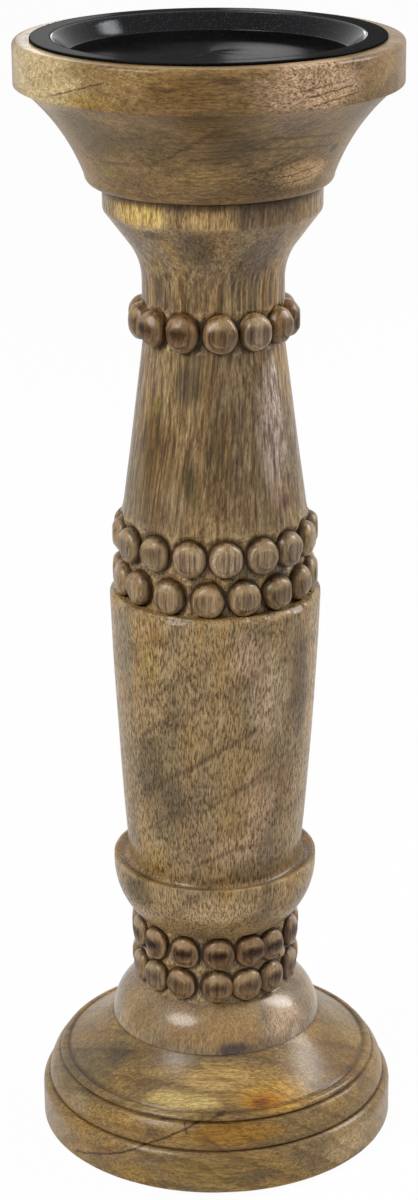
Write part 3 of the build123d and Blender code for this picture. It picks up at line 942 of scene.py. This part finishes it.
# Tints as (centre, reach, display colour, strength), in millimetres.
STEM_TINTS = (
    ((-22, -26, 320), (16, 14, 6), (208, 175, 100), 0.88),
    ((1, -34, 320), (11, 8, 5), (188, 152, 98), 0.75),
    ((18, -30, 322), (16, 14, 8), (94, 71, 54), 0.62),
    ((-5, -30, 309), (9, 10, 12), (80, 64, 44), 0.70),
    ((-18, -18, 302), (6, 8, 12), (146, 117, 62), 0.60),
    ((17, -22, 306), (10, 10, 14), (116, 94, 76), 0.70),
    ((-17, -26, 314), (6, 6, 2.5), (74, 54, 36), 0.65),
    ((-19, -18, 246), (5.5, 7, 28), (106, 76, 12), 0.82),
    ((-17, -18, 258), (2.4, 4, 5), (132, 114, 44), 0.80),
    ((-7, -27, 235), (4, 6, 9), (88, 78, 32), 0.65),
    ((-7, -22, 266), (7, 6, 9), (62, 48, 28), 0.60),
    ((1, -27, 242), (5.5, 6, 28), (98, 75, 38), 0.65),
    ((-13.5, -22.5, 244), (3.5, 4, 22), (98, 74, 30), 0.50),
    # Pale streaks on the shaft's right: the wood's pinkish tone with a painted highlight.
    ((19, -17, 250), (7, 9, 34), (180, 158, 146), 0.78),
    ((19.7, -14, 260), (2.2, 3.5, 16), (206, 186, 170), 0.70),
    ((17.4, -21, 238), (2.0, 3.5, 10), (188, 168, 150), 0.60),
    ((23, -17, 227), (3.2, 4, 3.4), (104, 60, 50), 0.75),
    ((-25, -12, 236), (5, 8, 22), (112, 98, 68), 0.65),
    ((-20, -26, 174), (5, 6, 11), (142, 116, 56), 0.60),
    ((-29, -17, 178), (8, 10, 20), (112, 100, 76), 0.60),
    ((-13, -28, 127), (6, 7, 13), (70, 58, 40), 0.70),
    ((8, -28, 112), (13, 8, 9), (182, 150, 114), 0.55),
    ((-18, -28, 185), (6, 5, 5), (134, 98, 46), 0.60),
    ((22, -21, 130), (5, 7, 14), (118, 86, 58), 0.60),
    ((-8, -31, 148), (5, 6, 15), (140, 110, 64), 0.55),
    ((-14, -28.5, 152), (5.5, 6, 24), (104, 84, 52), 0.45),
    ((10, -32, 180), (7, 7, 12), (186, 152, 118), 0.65),
    ((-21, -24, 136), (9, 9, 22), (84, 67, 40), 0.72),
    ((-17, -26, 116), (6, 8, 9), (98, 84, 56), 0.60),
    ((17, -28, 164), (10, 10, 22), (184, 158, 126), 0.65),
    ((14, -28, 128), (9, 9, 18), (178, 146, 112), 0.60),
    ((28, -18, 164), (4.5, 8, 32), (80, 62, 42), 0.75),
    ((-20, -22, 104), (7, 7, 6), (140, 111, 48), 0.60),
    ((-25, -21, 93), (10, 10, 8), (82, 66, 34), 0.80),
    ((2, -32, 90), (17, 9, 8), (180, 150, 108), 0.70),
    # The lighter front of the foot: its tone, lightened further as painted light on the lower slope.
    ((0, -30, 46), (22, 13, 9), (160, 123, 70), 0.75),
    ((-24, -22, 46), (9, 9, 7), (132, 104, 56), 0.65),
    ((24, -24, 45), (12, 12, 9), (190, 160, 130), 0.75),
    ((5.4, -33.4, 40.6), (8.0, 6, 3.4), (62, 48, 38), 0.95),
)
BEAD_TINTS = (
    ((2, -33, 212), (28, 12, 7), (188, 162, 132), 0.55),
    ((2, -33, 198), (28, 12, 6), (176, 150, 120), 0.35),
    ((15, -22, 282), (6, 7, 8), (178, 152, 128), 0.58),
)
# Veins as (start, end, half width, display colour, strength).
RING = (92, 68, 42)
STEM_VEINS = (
    ((-23.3, -22.0, 149.0), (-11.9, -30.4, 159.6), 1.3, RING, 0.55),
    ((-21.0, -22.6, 130.4), (-8.7, -30.3, 140.0), 1.4, RING, 0.60),
    ((-8.7, -30.3, 140.0), (1.7, -31.8, 147.4), 1.3, RING, 0.60),
    ((1.7, -31.8, 147.4), (13.8, -29.2, 153.9), 1.2, RING, 0.55),
    ((-7.8, -28.0, 104.7), (7.3, -28.6, 111.9), 1.2, RING, 0.50),
    ((7.3, -28.6, 111.9), (20.1, -21.7, 111.3), 1.2, RING, 0.50),
    ((5.1, -30.4, 131.1), (20.2, -24.3, 141.5), 1.2, RING, 0.50),
    ((20.2, -24.3, 141.5), (26.2, -18.0, 143.2), 1.2, RING, 0.50),
    ((-21.7, -24.4, 161.2), (-10.6, -31.4, 171.4), 1.6, RING, 0.45),
    ((-10.6, -31.4, 171.4), (-0.4, -33.5, 176.3), 1.4, RING, 0.40),
)
CUP_TINTS = (
    ((-52, -30, 363), (27, 32, 16), (196, 172, 124), 0.88),
    ((-34, -48, 358.6), (18, 10, 3.2), (150, 122, 58), 0.60),
    ((-8, -60, 363), (17, 9, 8), (112, 78, 32), 0.70),
    ((5, -60, 366), (6, 6, 2.0), (76, 50, 28), 0.70),
    ((31, -51, 363), (27, 17, 11), (222, 184, 146), 0.84),
    ((36, -48, 359.5), (11, 8, 2.6), (214, 178, 132), 0.75),
    ((50, -33, 365), (12, 14, 7), (152, 118, 74), 0.65),
    ((-36, -34, 346), (16, 17, 15), (100, 82, 42), 0.75),
    ((-16, -46, 344), (15, 12, 13), (96, 76, 40), 0.65),
    ((6, -46, 346), (16, 11, 13), (76, 57, 32), 0.68),
    ((26, -46, 351), (12, 9, 5), (118, 98, 82), 0.65),
    ((37, -24, 340), (2.6, 3, 2.6), (60, 42, 30), 0.80),
    ((28, -30, 334), (14, 12, 6.0), (204, 164, 112), 0.85),
    ((-30, -28, 334), (9, 9, 4), (124, 106, 50), 0.60),
)
LINE = (66, 42, 24)
CUP_VEINS = (
    ((-47, -38, 358.5), (-30, -52, 364.5), 0.45, LINE, 0.70),
    ((-20, -44, 337), (2, -52, 350), 0.8, LINE, 0.45),
    ((-33, -28, 337), (-24, -35, 337.5), 0.7, LINE, 0.40),
    ((8, -40, 335), (28, -33, 339), 0.8, LINE, 0.50),
    ((16, -46, 347), (38, -28, 345), 0.8, LINE, 0.50),
    ((14, -48, 344), (36, -27, 341.5), 0.7, LINE, 0.45),
    ((28, -53, 360), (42, -43, 362), 0.40, LINE, 0.80),
    ((30, -52, 357.6), (43, -42, 359.4), 0.40, LINE, 0.75),
    ((26, -54, 362.2), (40, -45, 363.6), 0.35, LINE, 0.60),
    ((22, -37, 333), (32, -26, 335), 0.35, LINE, 0.65),
    ((20, -36, 330.5), (30, -25, 332), 0.35, LINE, 0.65),
)
BASE_TINTS = (
    ((-45, -24, 27), (18, 20, 13), (106, 92, 62), 0.75),
    ((-33, -25, 34), (7, 9, 5), (74, 66, 48), 0.65),
    ((-26, -38, 30), (10, 9, 4), (112, 86, 52), 0.60),
    ((0, -42, 34), (22, 10, 4.5), (192, 158, 96), 0.70),
    ((40, -22, 30), (17, 20, 11), (116, 84, 34), 0.78),
    ((-53, -27, 7), (12, 16, 8), (148, 124, 80), 0.60),
    ((44, -40, 9), (14, 16, 8), (190, 158, 108), 0.70),
    ((1, -60, 9), (30, 10, 8), (142, 111, 48), 0.70),
    ((-28, -53, 5), (14, 9, 5), (154, 118, 50), 0.70),
    ((14, -59, 7), (13, 6, 4.2), (96, 79, 48), 0.65),
    ((6, -55, 21), (24, 9, 6), (146, 102, 24), 0.85),
    ((-20, -52, 20), (6, 6, 3), (84, 66, 36), 0.55),
    ((-46, -32, 20), (9, 11, 4), (156, 136, 102), 0.50),
    ((-14, -53, 22.6), (9, 7, 2.2), (170, 136, 82), 0.60),
    ((-12, -46, 28.0), (18, 10, 3.6), (206, 178, 112), 0.75),
    ((20, -44, 28.6), (22, 12, 5.4), (190, 144, 60), 0.75),
    ((17, -46.2, 28.2), (11.0, 5.0, 2.6), (172, 108, 20), 0.80),
    ((15, -46.6, 27.8), (5.5, 3.2, 1.1), (98, 52, 14), 0.80),
)
VEIN = (56, 32, 16)
BASE_VEINS = (
    ((-48, -36, 3.5), (-36, -47.5, 9.4), 0.65, VEIN, 0.80),
    ((-36, -47.5, 9.4), (-30, -51.2, 12.7), 0.65, VEIN, 0.90),
    ((-30, -51.2, 12.7), (-20.3, -53.2, 17.6), 0.60, VEIN, 0.90),
    ((-20.3, -53.2, 17.6), (-11.0, -54.1, 22.2), 0.55, VEIN, 0.90),
    ((-11.0, -54.1, 22.2), (-5.4, -53.0, 24.8), 0.55, VEIN, 0.85),
    ((-5.4, -53.0, 24.8), (3.0, -50.0, 26.7), 0.45, VEIN, 0.75),
    ((-10.7, -53.0, 24.6), (-9.6, -54.9, 21.2), 0.45, VEIN, 0.80),
)
UPRIGHT = ((2.0, -3.0, 0.0), (13.0, 40.0, 70.0), STEM_TONES, ((-0.52, 0.35, 0.9), 15.0, 0.18))
SMOOTH_FOOT = (((0, 0, 46), (48, 48, 9), -0.30),)
COARSE_CUP = (
    ((32, -50, 363), (29, 18, 12), 0.54), ((24, -33, 334), (24, 16, 7), 0.54), ((-8, -59, 363), (14, 8, 6), 0.15),
)
# Rings of painted shade where the wood lies in shade, as (radius, height, width, depth).
STEM_RINGS = ((34.6, 326.0, 4.2, 0.92), (30.4, 97.6, 2.2, 0.40))
CUP_RINGS = ((57.8, 356.2, 3.0, 0.22),)
BASE_RINGS = ((50.3, 26.2, 1.8, 0.50), (52.9, 24.4, 1.7, 0.42), (56.9, 15.7, 1.7, 0.42), (35.2, 39.0, 0.9, 0.40))

stem.data.materials.append(wood(
    "mango_wood_upright", *UPRIGHT, STEM_TINTS, STEM_VEINS, carved=True, shaft=(200.0, 232.0), shade_rings=STEM_RINGS,
))
stem.data.materials.append(wood(
    "mango_wood_foot", *UPRIGHT, STEM_TINTS, carved=True, pores=0.6, figure=1.6, coarse=SMOOTH_FOOT,
    gloss=(0.2, 0.7, 0.20),
))
for face in stem.data.polygons:
    face.material_index = 1 if face.center.z / MM < LOW_BAND[0] else 0
beads.data.materials.append(wood(
    "mango_wood_beads", *UPRIGHT, STEM_TINTS + BEAD_TINTS, carved=True, shaft=(-20.0, -10.0), pores=0.8,
    matte_painted_reflection=True, gloss=(0.13, 0.58, 0.28),
))
cup.data.materials.append(wood(
    "mango_wood_across", (0.0, 90.0, 30.0), (31.0, 7.0, 11.0), CUP_TONES, ((-0.30, 0.12, 0.9), 12.0, 0.16),
    CUP_TINTS, CUP_VEINS, drift=0.45, pores=0.46, coarse=COARSE_CUP, stipple=0.20, shade_rings=CUP_RINGS, figure=2.4,
    gloss=(0.11, 0.28, 0.22),
))
base.data.materials.append(wood(
    "mango_wood_flat", (0.0, 90.0, -24.0), (5.0, 61.0, 23.0), BASE_TONES, ((0.3, 0.7, 0.8), 9.0, 0.24),
    BASE_TINTS, BASE_VEINS, drift=0.7, pores=0.5, stipple=0.18, shade_rings=BASE_RINGS, figure=2.3,
    gloss=(0.12, 0.42, 0.24),
))
pan.data.materials.append(pan_coating("black_powder_coat", 0.0, 0.045, 0.34, 0.46, 0.25, 0.30))
pan.data.materials.append(pan_coating("black_powder_coat_wall", 0.15, 0.0, 0.05, 0.08, 0.50, 0.10))
for face in pan.data.polygons:
    middle = face.center / MM
    in_ring = PAN_FOOT - 0.2 < math.hypot(middle.x, middle.y) < PAN_MOUTH + 1.4
    on_wall = in_ring and PAN_FLOOR + 0.15 < middle.z < PAN_TOP - 0.05 and face.normal.z > 0
    face.material_index = 1 if on_wall else 0
felt.data.materials.append(felt_cloth())
steel = zinc_steel()
for node in ("cup_screw", "cup_washer", "base_screw", "base_washer"):
    part = bpy.data.objects[node]
    part.data.materials.clear()
    part.data.materials.append(steel)


# Floor, light and camera.

def make_floor():
    mesh = bpy.data.meshes.new("studio_floor")
    half, low = 12.0, -0.0001
    corners = [(-half, -half, low), (half, -half, low), (half, half, low), (-half, half, low)]
    mesh.from_pydata(corners, [], [(0, 1, 2, 3)])
    floor = bpy.data.objects.new("studio_floor", mesh)
    bpy.context.scene.collection.objects.link(floor)
    floor.data.materials.append(white_floor())


def make_lamp(name, place, aim, size, power):
    data = bpy.data.lights.new(name, "AREA")
    data.shape = "ELLIPSE"
    data.size, data.size_y = size
    data.energy = power
    lamp = bpy.data.objects.new(name, data)
    lamp.location = place
    lamp.rotation_euler = (Vector(aim) - Vector(place)).to_track_quat("-Z", "Y").to_euler()
    bpy.context.scene.collection.objects.link(lamp)


def make_world():
    t = Tree("studio", world=True)
    soft = t.shader("Background", Color=(1, 1, 1, 1), Strength=0.17)
    white = t.shader("Background", Color=(0.985, 0.985, 0.985, 1), Strength=1.0)
    bpy.context.scene.world = t.shown_white(1.0, soft, white)


def make_camera():
    """The camera that fits the photo's outline best, by least squares."""
    data = bpy.data.cameras.new("photo_camera")
    data.sensor_fit = "AUTO"
    data.sensor_width = 36.0
    data.lens = 85.49
    data.clip_start, data.clip_end = 0.01, 50.0
    camera = bpy.data.objects.new("photo_camera", data)
    bpy.context.scene.collection.objects.link(camera)
    camera.matrix_world = (
        Matrix.Translation((0.0, -0.8721, 0.5054))
        @ Matrix.Rotation(math.radians(0.0804), 4, "Z")
        @ Matrix.Rotation(math.radians(69.959), 4, "X")
        @ Matrix.Rotation(math.radians(-0.448), 4, "Z")
    )
    bpy.context.scene.camera = camera


make_floor()
make_world()
# Lamps as (name, place, aim, size, watts), in metres.
LAMPS = (
    ("left_softbox", (-0.84, -0.72, 1.15), (0, 0, 0.20), (0.72, 0.72), 14.0),
    ("right_softbox", (1.15, 0.31, 1.00), (0, 0, 0.22), (0.46, 0.95), 14.5),
    ("back_glint_right", (0.04, 1.25, 0.575), (0, 0, 0.37), (0.06, 0.07), 0.11),
    ("back_glint_left", (-0.12, 1.25, 0.57), (0, 0, 0.37), (0.10, 0.12), 0.18),
    ("top_hair_light", (-0.16, 0.45, 1.22), (0, 0, 0.35), (0.15, 0.15), 0.6),
)
for lamp in LAMPS:
    make_lamp(*lamp)
make_camera()

bpy.context.scene.view_settings.view_transform = "Standard"
